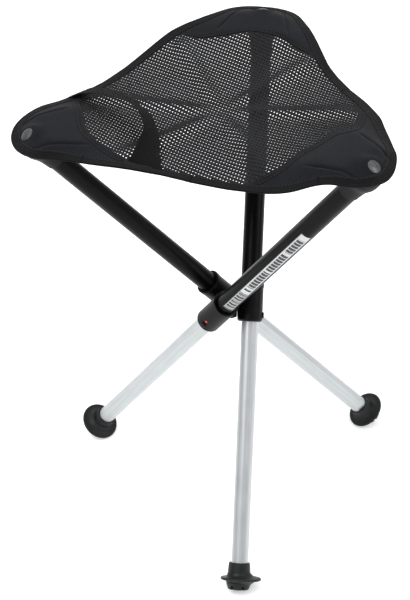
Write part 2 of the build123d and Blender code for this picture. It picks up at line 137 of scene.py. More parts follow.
# The stiff cloth over each cap lies as a flat plate that widens and falls a little towards the middle
PLATE_FROM = 158.0
PLATE_TO = 203.0
PLATE_HALF_WIDTH = 30.0
PLATE_WIDENING = 0.3
PLATE_TOP = 4.2
PLATE_FALL = 0.1
CREASE_DEPTH = 2.0
CREASE_WIDTH = 1.8
CREASE_FADE = 12
CREASE_OVERRUN = 18

# The label on leg b: its middle's angle round the tube, then distances up the leg in metres
LABEL_TURN = 30.0
LABEL_START = 0.034
LABEL_BARS_END = 0.076
LABEL_BLOCKS_START = LABEL_BARS_END + 0.006
LABEL_END = 0.217
LABEL_BLOCKS_END = LABEL_END - 0.010
LABEL_BORDER = 0.0012
LABEL_BARS = ((0.0026, 0.5), (0.0061, 0.62))  # spacing, and the bare share of it
LABEL_BLOCKS = ((0.0057, 0.22), (0.0431, 0.08))
LABEL_BARS_REACH = 0.0052  # to each side of the label's middle
LABEL_BLOCKS_REACH = 0.0043
LABEL_BORDER_FROM = 0.0057

# The cap's outline under the fabric: distance up the leg, then radius
CAP_OUTLINE = (
    (325.0, 16.5), (333.0, 18.5), (338.0, 18.5), (342.5, 17.6),
    (346.0, 15.5), (348.7, 12.3), (CAP_CROWN, 8.5), (CAP_CROWN, 0.0),
)

# Inner edge of each corner's patch, along the corner and across it
PATCH_EDGES = {
    "a": ((128, -101), (141, -82), (150, -26), (155, 22), (133, 67), (110, 98)),
    "b": ((120, -97), (133, -70), (135, -22), (136, 26), (150, 44), (122, 92), (112, 102)),
    "c": (
        (124, -101), (133, -82), (144, -58), (157, -31), (163, 3),
        (151, 30), (143, 57), (146, 88), (152, 98),
    ),
}

# The elastic band over corner a: along the corner, across it, height, how far its face leans, and its width
BAND_POINTS = (
    (114, 92, -11.5, 0, 44), (106, 78, -6.0, 8, 30), (91, 43, 3.0, 30, 18), (92, 7, 9.5, 36, 18),
    (112, -32, 11.5, 16, 18), (134, -62, 4.5, 4, 19), (142.5, -77, -5.0, 0, 21), (146, -85, -10.4, 0, 22),
)
BAND_THICKNESS = 1.3
BAND_STEPS = 90

STITCH_PITCH = 3.4
STITCH_LENGTH = 2.3
STITCH_WIDTH = 0.5
STITCH_SIDES = 6
# Stations of one stitch: place along its length, and share of its full thickness
STITCH_STATIONS = ((-0.5, 0.25), (-0.32, 0.85), (0.0, 1.0), (0.32, 0.85), (0.5, 0.25))
HEM_STITCH_INSET = 1.5
BINDING_STITCH_INSET = 1.6
FLOOR_REACH = 45.0

# ---- where the legs are


def unit(vector):
    vector = np.array(vector, float)
    return vector / np.linalg.norm(vector)


pivots = {leg: np.array(joints[f"tilt_{leg}"]["pos_m"]) for leg in LEGS}
outward = {leg: unit(joints[f"tilt_{leg}"]["axis"]) for leg in LEGS}
up_leg = {leg: unit(joints[f"lower_slide_{leg}"]["axis"]) for leg in LEGS}
hub = sum(pivots.values()) / len(LEGS)
rivets = {leg: pivots[leg] + up_leg[leg] * RIVET_REACH * MM for leg in LEGS}
seat_origin = np.array([hub[0], hub[1], rivets["a"][2]])
corner_turn = {leg: degrees(atan2(*(rivets[leg] - hub)[1::-1])) for leg in LEGS}


def to_row(points):
    """Seat millimetres to row metres."""
    return np.asarray(points, float) * MM + seat_origin


def turned(points, angle):
    """Plan points, or points with heights, turned about the hub's axis."""
    points = np.array(points, float)
    c, s = cos(radians(angle)), sin(radians(angle))
    x, y = points[..., 0].copy(), points[..., 1].copy()
    points[..., 0] = c * x - s * y
    points[..., 1] = s * x + c * y
    return points


# ---- materials


# Sockets of a Mix node that mixes colours
MIX_FIRST = 6
MIX_SECOND = 7
MIX_RESULT = 2

WAVE_UNIT = 0.31416  # a wave texture of scale 1 repeats after this length
THREAD_PITCH = 0.0009
THREAD_RELIEF = 0.00009
CROSS_THREAD = 0.7


class Paint:
    """A material under construction, with short names for the nodes it often needs."""

    def __init__(self, name, colour, roughness, metallic=0.0, specular=0.5):
        self.material = bpy.data.materials.new(name)
        self.material.use_nodes = True
        self.tree = self.material.node_tree
        self.shader = self.tree.nodes["Principled BSDF"]
        self.shader.inputs["Base Color"].default_value = (*colour, 1)
        self.shader.inputs["Roughness"].default_value = roughness
        self.shader.inputs["Metallic"].default_value = metallic
        self.shader.inputs["Specular IOR Level"].default_value = specular
        self.height = None

    def node(self, kind, **inputs):
        made = self.tree.nodes.new(kind)
        for name, value in inputs.items():
            made.inputs[name.replace("_", " ")].default_value = value
        return made

    def link(self, source, target):
        self.tree.links.new(source, target)

    def place(self, stretch=(1, 1, 1), coordinates="Object", turn=(0, 0, 0)):
        """Coordinates, turned and then stretched."""
        source = self.tree.nodes.new("ShaderNodeTexCoord")
        turning = self.node("ShaderNodeMapping", Rotation=turn)
        scaling = self.node("ShaderNodeMapping", Scale=stretch)
        self.link(source.outputs[coordinates], turning.inputs["Vector"])
        self.link(turning.outputs["Vector"], scaling.inputs["Vector"])
        return scaling.outputs["Vector"]

    def noise(self, scale, detail=4.0, **place):
        made = self.node("ShaderNodeTexNoise", Scale=scale, Detail=detail)
        self.link(self.place(**place), made.inputs["Vector"])
        return made.outputs["Fac"]

    def wave(self, scale, axis="X", distortion=0.0, **place):
        made = self.node("ShaderNodeTexWave", Scale=scale, Distortion=distortion)
        made.bands_direction = axis
        self.link(self.place(**place), made.inputs["Vector"])
        return made.outputs["Fac"]

    def distance(self, place, direction, start):
        """How far a place lies from a point, along a direction."""
        made = self.tree.nodes.new("ShaderNodeVectorMath")
        made.operation = "DOT_PRODUCT"
        self.link(place, made.inputs[0])
        made.inputs[1].default_value = tuple(direction)
        return self.combine(made.outputs["Value"], float(np.dot(direction, start)), "SUBTRACT")

    def stripes(self, source, pitch, share):
        """One along a share of every pitch, and nothing between."""
        phase = self.combine(self.combine(source, 1 / pitch, "MULTIPLY"), 1.0, "FRACT")
        return self.combine(phase, share, "GREATER_THAN")

    def spread(self, source, low, high, start=0.3, end=0.7):
        """A value run from low to high."""
        made = self.node("ShaderNodeMapRange", From_Min=start, From_Max=end, To_Min=low, To_Max=high)
        self.link(source, made.inputs["Value"])
        return made.outputs["Result"]

    def combine(self, first, second, how="ADD"):
        made = self.tree.nodes.new("ShaderNodeMath")
        made.operation = how
        for socket, value in zip(made.inputs, (first, second)):
            if isinstance(value, (int, float)):
                socket.default_value = value
            else:
                self.link(value, socket)
        return made.outputs["Value"]

    def combine_all(self, how, first, *others):
        """Several values combined in turn."""
        for other in others:
            first = self.combine(first, other, how)
        return first

    def tint(self, source, dark, light, start=0.3, end=0.7):
        """The base colour runs from dark to light with a value."""
        ramp = self.node("ShaderNodeMix")
        ramp.data_type = "RGBA"
        ramp.inputs[MIX_FIRST].default_value = (*dark, 1)
        ramp.inputs[MIX_SECOND].default_value = (*light, 1)
        self.link(self.spread(source, 0.0, 1.0, start, end), ramp.inputs["Factor"])
        self.link(ramp.outputs[MIX_RESULT], self.shader.inputs["Base Color"])

    def shine(self, source, low, high):
        """The roughness runs from low to high with a value."""
        self.link(self.spread(source, low, high), self.shader.inputs["Roughness"])

    def bump(self, source, distance):
        """Adds a layer of relief, in metres."""
        made = self.node("ShaderNodeBump", Strength=1.0, Distance=distance)
        self.link(source, made.inputs["Height"])
        if self.height:
            self.link(self.height, made.inputs["Normal"])
        self.height = made.outputs["Normal"]
        self.link(self.height, self.shader.inputs["Normal"])


def shade(colour, factor):
    return tuple(min(1.0, part * factor) for part in colour)


def tube_black():
    colour = (0.0014, 0.0014, 0.0017)
    paint = Paint("tube_black", colour, 0.3, specular=0.09)
    grain = paint.noise(1800)
    paint.bump(grain, 0.00004)
    paint.shine(paint.noise(35), 0.27, 0.38)
    paint.tint(paint.noise(60), colour, shade(colour, 1.5))
    return paint.material


def tube_silver(leg):
    """Drawn aluminium, with fine lines along the leg."""
    colour = (0.5, 0.525, 0.535)
    paint = Paint(f"tube_silver_{leg}", colour, 0.36, metallic=0.55)
    along = Vector(up_leg[leg]).to_track_quat("Z", "Y").inverted().to_euler()
    lines = paint.noise(900, 2.0, stretch=(1, 1, 0.012), turn=along)
    paint.tint(lines, shade(colour, 0.9), shade(colour, 1.08))
    paint.shine(paint.noise(40), 0.3, 0.42)
    paint.bump(lines, 0.00003)
    return paint.material


def moulded(name, colour, roughness, grain=2200):
    paint = Paint(name, colour, roughness, specular=0.13)
    paint.bump(paint.noise(grain), 0.00006)
    patches = paint.noise(50)
    paint.shine(patches, roughness - 0.05, roughness + 0.07)
    paint.tint(patches, shade(colour, 0.88), shade(colour, 1.15))
    return paint.material


def foot_rubber():
    colour = (0.008, 0.009, 0.0095)
    paint = Paint("foot_rubber", colour, 0.46, specular=0.26)
    dust = paint.noise(110, 6.0)
    paint.tint(dust, shade(colour, 0.85), shade(colour, 1.5))
    paint.shine(dust, 0.4, 0.62)
    paint.bump(paint.noise(1500), 0.00012)
    return paint.material


def steel(name, roughness):
    colour = (0.5, 0.5, 0.51)
    paint = Paint(name, colour, roughness, metallic=1.0)
    fine = paint.noise(1600)
    paint.bump(fine, 0.00002)
    paint.shine(fine, roughness - 0.06, roughness + 0.1)
    return paint.material


def rivet_metal():
    colour = (0.062, 0.063, 0.068)
    paint = Paint("rivet_metal", colour, 0.34, metallic=0.35, specular=0.6)
    wear = paint.noise(500, 5.0)
    paint.tint(wear, shade(colour, 0.8), shade(colour, 1.6))
    paint.shine(wear, 0.28, 0.44)
    paint.bump(paint.noise(1400), 0.00003)
    return paint.material


def release_red():
    paint = Paint("release_red", (0.75, 0.03, 0.012), 0.4)
    paint.bump(paint.noise(2500), 0.00003)
    paint.tint(paint.noise(900), (0.62, 0.022, 0.01), (0.85, 0.04, 0.016))
    return paint.material


def weave(name, colour):
    """Plain woven cloth, with threads along the row's X and Y."""
    paint = Paint(name, colour, 0.85, specular=0.08)
    scale = WAVE_UNIT / THREAD_PITCH
    cloth = paint.combine(paint.wave(scale, "X"), paint.wave(scale, "Y"), "MULTIPLY")
    slubs = paint.noise(260, 6.0)
    mottle = paint.noise(18, 3.0)
    paint.bump(cloth, THREAD_RELIEF)
    paint.bump(slubs, THREAD_RELIEF * 1.6)
    wear = paint.combine(paint.combine(cloth, 0.35, "MULTIPLY"), paint.combine(mottle, slubs))
    paint.tint(wear, shade(colour, 0.72), shade(colour, 1.45), 0.75, 1.5)
    paint.shader.inputs["Sheen Weight"].default_value = 0.06
    paint.shader.inputs["Sheen Roughness"].default_value = 0.5
    return paint.material


def ribbed(name, colour, ribs, roughness=0.7):
    """Webbing: ribs along its length and fine crossing threads, on its own coordinates in millimetres."""
    paint = Paint(name, colour, roughness, specular=0.08)
    lengthways = paint.wave(WAVE_UNIT / ribs, "X", coordinates="UV")
    crossing = paint.wave(WAVE_UNIT / CROSS_THREAD, "Y", distortion=0.6, coordinates="UV")
    threads = paint.combine(lengthways, paint.combine(crossing, 0.45, "MULTIPLY"))
    paint.bump(threads, 0.0003)
    mottle = paint.noise(30, 4.0)
    wear = paint.combine(paint.combine(threads, 0.3, "MULTIPLY"), mottle)
    paint.tint(wear, shade(colour, 0.5), shade(colour, 1.7), 0.4, 1.1)
    paint.shader.inputs["Sheen Weight"].default_value = 0.04
    return paint.material


def net_yarn():
    colour = (0.0055, 0.0058, 0.007)
    paint = Paint("net_yarn", colour, 0.6, specular=0.1)
    yarn = paint.noise(1600, 5.0)
    paint.bump(yarn, 0.00022)
    mottle = paint.combine(paint.noise(22, 3.0), yarn)
    paint.tint(mottle, shade(colour, 0.75), shade(colour, 1.6), 0.8, 1.25)
    paint.shader.inputs["Sheen Weight"].default_value = 0.05
    return paint.material


def label_film():
    """A pale film with a dark border, a rank of plain bars at its lower end and plain blocks beyond them."""
    pale, ink = (0.6, 0.62, 0.63), (0.006, 0.006, 0.007)
    paint = Paint("label_film", pale, 0.38, metallic=0.1, specular=0.4)
    place = paint.place()
    turn = radians(LABEL_TURN)
    around = outward["b"] * cos(turn) + np.cross(up_leg["b"], outward["b"]) * sin(turn)
    side = np.cross(up_leg["b"], around)
    along, across = (paint.distance(place, direction, pivots["b"]) for direction in (up_leg["b"], side))
    across = paint.combine(across, 0.0, "ABSOLUTE")
    bars, blocks = (
        paint.combine_all(how, *(paint.stripes(along, *stripe) for stripe in stripes))
        for stripes, how in ((LABEL_BARS, "MAXIMUM"), (LABEL_BLOCKS, "MULTIPLY"))
    )
    bars = paint.combine_all(
        "MULTIPLY",
        bars,
        paint.combine(along, LABEL_BARS_END, "LESS_THAN"),
        paint.combine(across, LABEL_BARS_REACH, "LESS_THAN"),
    )
    blocks = paint.combine_all(
        "MULTIPLY",
        blocks,
        paint.combine(along, LABEL_BLOCKS_START, "GREATER_THAN"),
        paint.combine(along, LABEL_BLOCKS_END, "LESS_THAN"),
        paint.combine(across, LABEL_BLOCKS_REACH, "LESS_THAN"),
    )
    border = paint.combine_all(
        "MAXIMUM",
        paint.combine(across, LABEL_BORDER_FROM, "GREATER_THAN"),
        paint.combine(along, LABEL_START + LABEL_BORDER, "LESS_THAN"),
        paint.combine(along, LABEL_END - LABEL_BORDER, "GREATER_THAN"),
    )
    marks = paint.combine_all("MAXIMUM", bars, blocks, border)
    worn = paint.combine(marks, paint.spread(paint.noise(700, 5.0), 1.0, 0.9), "MULTIPLY")
    paint.tint(worn, pale, ink, 0.0, 1.0)
    paint.bump(marks, 0.00002)
    return paint.material


# ---- the seat's plan


def arc(first, middle, last, count):
    """Points on the circle through three plan points."""
    first, middle, last = (np.array(point, float) for point in (first, middle, last))
    across, along = middle - first, last - first
    cross = 2 * (across[0] * along[1] - across[1] * along[0])
    offset_x = (along[1] * (across @ across) - across[1] * (along @ along)) / cross
    offset_y = (across[0] * (along @ along) - along[0] * (across @ across)) / cross
    centre = first + (offset_x, offset_y)
    radius = np.linalg.norm(first - centre)
    angles = np.unwrap([atan2(*(point - centre)[::-1]) for point in (first, middle, last)])
    sweep = np.linspace(angles[0], angles[2], count)
    return centre + radius * np.stack([np.cos(sweep), np.sin(sweep)], 1)


def run_lengths(points):
    """Distance along a path at each of its points."""
    return np.concatenate([[0], np.cumsum(np.linalg.norm(np.diff(points, axis=0), axis=1))])


def polar(distance, angle):
    """Plan points by distance and angle from the hub's axis."""
    angle = np.radians(angle)
    return np.stack([distance * np.cos(angle), distance * np.sin(angle)], -1)


def evened(values, side, ends):
    """A row of values averaged over so many neighbours on each side."""
    kernel = np.hanning(2 * side + 1)
    return np.convolve(np.pad(values, side, mode=ends), kernel / kernel.sum(), "valid")


def edge_stray(angle, kind):
    """How much further out, for kind 0, or higher, for kind 1, the edge runs at an angle."""
    strays = [(leg, stray) for leg in LEGS for stray in EDGE_STRAYS[leg]]
    angles = np.array([(corner_turn[leg] + stray[0]) % 360 for leg, stray in strays])
    values = np.array([stray[1 + kind] for _, stray in strays], float)
    fine = np.arange(0.0, 360.0)
    order = np.argsort(angles)
    strays = np.interp(fine, angles[order], values[order], period=360)
    return np.interp(angle, fine, evened(strays, 4, "wrap"), period=360)


def seat_outline(step):
    """The seat's outer edge, evenly spaced and anticlockwise."""
    path = []
    for leg in sorted(LEGS, key=lambda name: corner_turn[name] % 360):
        turn = corner_turn[leg]
        centre = turned((CORNER_CENTRE, 0), turn)
        ends = [centre + turned((CORNER_ROUND, 0), turn + side) for side in (-CORNER_SWEEP, CORNER_SWEEP)]
        tip = turned((CORNER_CENTRE + CORNER_ROUND, 0), turn)
        onward = turn + 120
        following = turned((CORNER_CENTRE, 0), onward) + turned((CORNER_ROUND, 0), onward - CORNER_SWEEP)
        path.append(arc(ends[0], tip, ends[1], ARC_POINTS)[:-1])
        path.append(arc(ends[1], turned((WAIST, 0), turn + 60), following, ARC_POINTS)[:-1])
    path = np.concatenate(path)
    distance = np.hypot(path[:, 0], path[:, 1])
    path = path * (1 + edge_stray(np.degrees(np.arctan2(path[:, 1], path[:, 0])), 0) / distance)[:, None]
    path = np.vstack([path, path[:1]])
    lengths = run_lengths(path)
    count = int(round(lengths[-1] / step))
    at = np.linspace(0, lengths[-1], count, endpoint=False)
    return np.stack([np.interp(at, lengths, path[:, axis]) for axis in (0, 1)], 1)


def plan_normals(path):
    """Inward normals of a closed anticlockwise path."""
    along = np.roll(path, -1, 0) - np.roll(path, 1, 0)
    inward = np.stack([-along[:, 1], along[:, 0]], 1)
    return inward / np.linalg.norm(inward, axis=1, keepdims=True)


outline = seat_outline(OUTLINE_STEP)
inward = plan_normals(outline)


def reach_table(path):
    """Angles and distances from the hub's axis, ready for np.interp with a period."""
    angles = np.degrees(np.arctan2(path[:, 1], path[:, 0]))
    order = np.argsort(angles)
    return angles[order], np.hypot(path[:, 0], path[:, 1])[order]


OUTER = reach_table(outline)
INNER = reach_table(outline + inward * BINDING_WIDTH)


def reach(table, angle):
    return np.interp(angle, table[0], table[1], period=360)


def from_corner(angle):
    """Signed angle from the nearest corner, and that corner's index in LEGS."""
    turns = np.array([corner_turn[leg] for leg in LEGS])
    gaps = (np.asarray(angle)[..., None] - turns + 180) % 360 - 180
    nearest = np.abs(gaps).argmin(-1)
    return np.take_along_axis(gaps, nearest[..., None], -1)[..., 0], nearest


# ---- the seat's height


def edge_height(angle):
    gap, _ = from_corner(angle)
    return np.interp(np.abs(gap), EDGE_ANGLES, EDGE_HEIGHTS) + edge_stray(angle, 1)


def leg_frame(leg):
    """The leg in seat millimetres: its pivot, outward, onward and upward directions."""
    pivot = (pivots[leg] - seat_origin) / MM
    return pivot, outward[leg], np.cross(up_leg[leg], outward[leg]), up_leg[leg]


def cap_cover(clearance):
    """Points on the three caps' surface, moved out by a clearance."""
    outline_points = np.array(CAP_OUTLINE)
    lengths = run_lengths(outline_points)
    at = np.linspace(0, lengths[-1], 90)
    upward = np.interp(at, lengths, outline_points[:, 0])
    radius = np.interp(at, lengths, outline_points[:, 1])
    lean = np.arctan2(np.gradient(upward), -np.gradient(radius))
    upward, radius = upward + clearance * np.cos(lean), radius + clearance * np.sin(lean)
    round_leg = np.linspace(0, 2 * pi, 240, endpoint=False)
    points = []
    for leg in LEGS:
        pivot, out, on, up = leg_frame(leg)
        ring = np.cos(round_leg)[:, None] * out + np.sin(round_leg)[:, None] * on
        points.append((pivot + radius[:, None, None] * ring + upward[:, None, None] * up).reshape(-1, 3))
    return np.concatenate(points)


GRID = np.arange(-GRID_REACH, GRID_REACH + GRID_STEP, GRID_STEP)


def solve_seat():
    """A tight skin over the plan, held at its edge and clamped at the rivets, and lying on the caps."""
    x, y = np.meshgrid(GRID, GRID, indexing="ij")
    angle = np.degrees(np.arctan2(y, x))
    held = np.hypot(x, y) >= reach(OUTER, angle) - 1.0
    height = edge_height(angle)
    floor = np.full_like(x, -1e3)
    cover = cap_cover(PATCH_THICKNESS / 2 + CAP_GAP)
    cells = np.round((cover[:, :2] + GRID_REACH) / GRID_STEP).astype(int)
    np.maximum.at(floor, (cells[:, 0], cells[:, 1]), cover[:, 2])
    caps = floor.copy()
    rivet_plane, rivet_hold = np.zeros_like(x), np.zeros_like(x)
    for leg in LEGS:
        pivot, out, on, up = leg_frame(leg)
        plane = CAP_CROWN + RIVET_LIFT - (x - pivot[0]) * up[0] - (y - pivot[1]) * up[1]
        plane = pivot[2] + plane / up[2]
        offset = np.stack([x - pivot[0], y - pivot[1], plane - pivot[2]], -1)
        beside = np.linalg.norm(offset - (offset @ up)[..., None] * up, axis=-1)
        clamped = beside < RIVET_HEAD_RADIUS
        height = np.where(clamped, plane, height)
        held |= clamped
        hold = np.clip((RIVET_HEAD_RADIUS + RIVET_HOLD - beside) / RIVET_FADE, 0, 1)
        rivet_plane = np.where(hold > 0, plane, rivet_plane)
        rivet_hold = np.maximum(rivet_hold, hold)
        along, across = turned(np.stack([x, y], -1), -corner_turn[leg]).transpose(2, 0, 1)
        half = PLATE_HALF_WIDTH + PLATE_WIDENING * (PLATE_TO - along)
        plate = (along > PLATE_FROM) & (along < PLATE_TO) & (np.abs(across) < half)
        floor = np.where(plate, np.maximum(floor, PLATE_TOP - PLATE_FALL * (PLATE_TO - along)), floor)
    colour = (np.add.outer(np.arange(len(GRID)), np.arange(len(GRID))) % 2).astype(bool)
    drop = SEAT_LOAD * GRID_STEP**2 / 4
    for _ in range(SEAT_SWEEPS):
        for part in (colour, ~colour):
            mean = sum(np.roll(height, shift, axis) for axis in (0, 1) for shift in (1, -1)) / 4
            moved = np.maximum(height + OVER_RELAXATION * (mean - drop - height), floor)
            height = np.where(part & ~held, moved, height)
    soft = np.maximum(blurred(height, 5), caps)
    soft = blurred(soft, 3)
    inside = np.clip((reach(OUTER, angle) - np.hypot(x, y)) / EDGE_FADE, 0, 1)
    soft = height + (soft - height) * inside
    return soft + (rivet_plane - soft) * rivet_hold


def blurred(height, passes):
    for _ in range(passes):
        height = (height * 2 + np.roll(height, 1, 0) + np.roll(height, -1, 0)) / 4
        height = (height * 2 + np.roll(height, 1, 1) + np.roll(height, -1, 1)) / 4
    return height


def pleats():
    """Low ridges where the cloth is pulled tight from each end of a patch's inner edge to the middle."""
    x, y = np.meshgrid(GRID, GRID, indexing="ij")
    relief = np.zeros_like(x)
    for leg in LEGS:
        for end in (PATCH_EDGES[leg][1], PATCH_EDGES[leg][-2]):
            start = turned(end, corner_turn[leg])
            length = np.linalg.norm(start)
            along = (x * start[0] + y * start[1]) / length
            across = (-x * start[1] + y * start[0]) / length
            fade = np.clip(along / PLEAT_FADE, 0, 1)
            fade = fade * np.clip((length + PLEAT_OVERRUN - along) / PLEAT_FADE, 0, 1)
            width = PLEAT_HALF_WIDTH + PLEAT_SPREAD * np.clip(along / length, 0, 1)
            relief += PLEAT_HEIGHT * fade * np.exp(-((across / width) ** 2))
    angle = np.degrees(np.arctan2(y, x))
    inside = np.clip((reach(INNER, angle) - np.hypot(x, y)) / PLEAT_EDGE_FADE, 0, 1)
    return relief * inside


seat_height_map = blurred(solve_seat(), 1) + pleats()


def creases(plan):
    """Grooves where the stiff cloth over a cap bends down at the sides of its plate."""
    relief = np.zeros(plan.shape[:-1])
    for leg in LEGS:
        along, across = np.moveaxis(turned(plan, -corner_turn[leg]), -1, 0)
        half = PLATE_HALF_WIDTH + PLATE_WIDENING * (PLATE_TO - along)
        fade = np.clip((along - PLATE_FROM) / CREASE_FADE, 0, 1)
        fade = fade * np.clip((PLATE_TO + CREASE_OVERRUN - along) / CREASE_FADE, 0, 1)
        relief -= CREASE_DEPTH * fade * np.exp(-(((np.abs(across) - half) / CREASE_WIDTH) ** 2))
    return relief


def seat_height(plan):
    """Height of the seat's middle surface at plan points, by bilinear lookup."""
    place = (np.clip(plan, -GRID_REACH, GRID_REACH - GRID_STEP * 1.01) + GRID_REACH) / GRID_STEP
    low = np.floor(place).astype(int)
    part = place - low
    i, j = low[..., 0], low[..., 1]
    u, v = part[..., 0], part[..., 1]
    m = seat_height_map
    near = m[i, j] * (1 - u) + m[i + 1, j] * u
    far = m[i, j + 1] * (1 - u) + m[i + 1, j + 1] * u
    return near * (1 - v) + far * v + creases(plan)


def seat_normal(plan):
    step = 1.5
    slope_x = (seat_height(plan + (step, 0)) - seat_height(plan - (step, 0))) / (2 * step)
    slope_y = (seat_height(plan + (0, step)) - seat_height(plan - (0, step))) / (2 * step)
    normal = np.stack([-slope_x, -slope_y, np.ones_like(slope_x)], -1)
    return normal / np.linalg.norm(normal, axis=-1, keepdims=True)


def on_seat(plan, lift=0.0):
    """Seat points at a height over the middle surface, square to it."""
    plan = np.asarray(plan, float)
    base = np.concatenate([plan, seat_height(plan)[..., None]], -1)
    return base + seat_normal(plan) * np.asarray(lift)[..., None]


# ---- making pieces

scene_collection = bpy.context.scene.collection


def make_mesh(name, points, faces, material, uv=None):
    """One piece from seat millimetres. Doubled points are joined and normals point outwards."""
    mesh = bpy.data.meshes.new(name)
    mesh.from_pydata(to_row(points).tolist(), [], [tuple(int(i) for i in face) for face in faces])
    if uv is not None:
        layer = mesh.uv_layers.new(name="UVMap")
        corners = np.array([loop.vertex_index for loop in mesh.loops])
        layer.data.foreach_set("uv", np.asarray(uv, np.float32)[corners].ravel())
    mesh.materials.append(material)
    mesh.validate()
    piece = bpy.data.objects.new(name, mesh)
    scene_collection.objects.link(piece)
    tidy_mesh(mesh)
    mesh.shade_smooth()
    return piece


def tidy_mesh(mesh):
    work = bmesh.new()
    work.from_mesh(mesh)
    bmesh.ops.remove_doubles(work, verts=work.verts, dist=0.00002)
    bmesh.ops.dissolve_degenerate(work, edges=work.edges, dist=0.00001)
    bmesh.ops.recalc_face_normals(work, faces=work.faces)
    work.to_mesh(mesh)
    work.free()


def grid_faces(rows, columns, start=0, closed=False):
    """Quads of a grid of points stored row by row. A closed one joins its last column to its first."""
    i, j = np.meshgrid(np.arange(rows - 1), np.arange(columns if closed else columns - 1), indexing="ij")
    after_j = (j + 1) % columns
    here, there = i * columns, (i + 1) * columns
    quads = np.stack([here + j, there + j, there + after_j, here + after_j], -1)
    return (quads.reshape(-1, 4) + start).tolist()


def tube_faces(rows, columns, start=0):
    """Faces of a closed tube made of rings of points, with its two ends."""
    faces = grid_faces(rows, columns, start, closed=True)
    faces.append([start + j for j in range(columns)])
    faces.append([start + (rows - 1) * columns + j for j in reversed(range(columns))])
    return faces


def closed_sheet(name, plan, thickness, material):
    """A thin closed sheet over a grid of plan points, with rims on all four sides."""
    rows, columns = plan.shape[:2]
    flat = plan.reshape(-1, 2)
    top, bottom = on_seat(flat, thickness / 2), on_seat(flat, -thickness / 2)
    count = rows * columns
    faces = grid_faces(rows, columns)
    faces += [tuple(reversed([i + count for i in face])) for face in grid_faces(rows, columns)]
    rim = [i * columns for i in range(rows)]
    rim += [(rows - 1) * columns + j for j in range(1, columns)]
    rim += [i * columns + columns - 1 for i in range(rows - 2, -1, -1)]
    rim += [j for j in range(columns - 2, 0, -1)]
    for here, there in zip(rim, rim[1:] + rim[:1]):
        faces.append((here, there, there + count, here + count))
    piece = make_mesh(name, np.concatenate([top, bottom]), faces, material)
    smooth_by_angle(piece)
    return piece


def declare_sheet(plan, area, leg):
    """Works out a piece of cloth's flat width, length and area, turned to its corner; nothing is kept or
    returned.
    """
    across = turned(plan, -corner_turn[leg]).reshape(-1, 2)
    width, length = sorted(np.ptp(across, axis=0))
    if area < CRESCENT_SHARE * width * length:
        width = 2 * area / length
    area = min(area, width * length)


def sheet_area(plan):
    """The area of a grid of plan points once they lie on the seat."""
    points = on_seat(plan)
    one, two = points[1:, 1:] - points[:-1, :-1], points[1:, :-1] - points[:-1, 1:]
    return np.linalg.norm(np.cross(one, two), axis=-1).sum() / 2


def smooth_by_angle(piece, angle=40):
    piece.data.shade_smooth()
    piece.data.set_sharp_from_angle(angle=radians(angle))


def fold_distance(leg, plan):
    """How far plan points lie beyond the fold line, away from the hub."""
    square = np.cross((0, 0, 1), outward[leg])[:2]
    corner_side = (rivets[leg] - hub)[:2] / MM
    if square @ corner_side < 0:
        square = -square
    fold_point = corner_side * (1 - FOLD_FROM_RIVET / np.linalg.norm(corner_side))
    return (np.asarray(plan) - fold_point) @ square


def fold_reach(leg, angle):
    """Distance from the hub's axis to the fold line along a direction."""
    direction = np.stack([np.cos(np.radians(angle)), np.sin(np.radians(angle))], -1)
    start = fold_distance(leg, np.zeros(2))
    rate = fold_distance(leg, direction) - start
    return -start / rate


def patch_ends(leg):
    """Angles from the corner at which a patch's inner edge starts and ends."""
    return [degrees(atan2(y, x)) for x, y in (PATCH_EDGES[leg][0], PATCH_EDGES[leg][-1])]


def patch_reach(leg, gap):
    """Distance from the hub's axis to a patch's inner edge, by angle from its corner."""
    edge = np.array(PATCH_EDGES[leg], float)
    angles = np.degrees(np.arctan2(edge[:, 1], edge[:, 0]))
    distance = np.hypot(edge[:, 0], edge[:, 1])
    fine = np.linspace(angles[0], angles[-1], 400)
    smooth = np.interp(fine, angles, distance)
    return np.interp(gap, fine, evened(smooth, 20, "edge"))


def patch_pieces(leg, material):
    """The solid cloth of one corner, over the leg and beyond the fold, and the plan of the second part."""
    gaps = np.linspace(*patch_ends(leg), PATCH_ROWS)
    angles = corner_turn[leg] + gaps
    rim = reach(INNER, angles) + PATCH_MARGIN
    inner = np.minimum(patch_reach(leg, gaps), rim)
    fold = np.clip(fold_reach(leg, angles), inner, rim)
    pieces = []
    parts = (("corner", fold, rim, CORNER_COLUMNS), ("tail", inner, fold, TAIL_COLUMNS))
    for name, start, end, count in parts:
        kept = end - start > NARROWEST
        share = np.linspace(0, 1, count)
        distance = start[kept, None] + (end - start)[kept, None] * share
        plan = polar(distance, angles[kept, None])
        piece = closed_sheet(f"{name}_cloth_{leg}", plan, PATCH_THICKNESS, material)
        if name == "corner":
            declare_sheet(plan, sheet_area(plan), leg)
        pieces.append(piece)
    return pieces, plan


def hem_piece(leg, gaps, material):
    """The folded hem along a patch's inner edge, where it is sewn to the net."""
    share = np.linspace(-0.5, HEM_WIDTH, 9)
    distance = patch_reach(leg, gaps)[:, None] + share
    plan = polar(distance, (gaps + corner_turn[leg])[:, None])
    clear = distance.max(1) < reach(INNER, gaps + corner_turn[leg]) + 2
    clear &= fold_distance(leg, plan).max(1) < -0.5
    rows = np.flatnonzero(clear)
    runs = np.split(rows, np.flatnonzero(np.diff(rows) > 1) + 1)
    return closed_sheet(f"hem_{leg}", plan[max(runs, key=len)], HEM_THICKNESS, material)


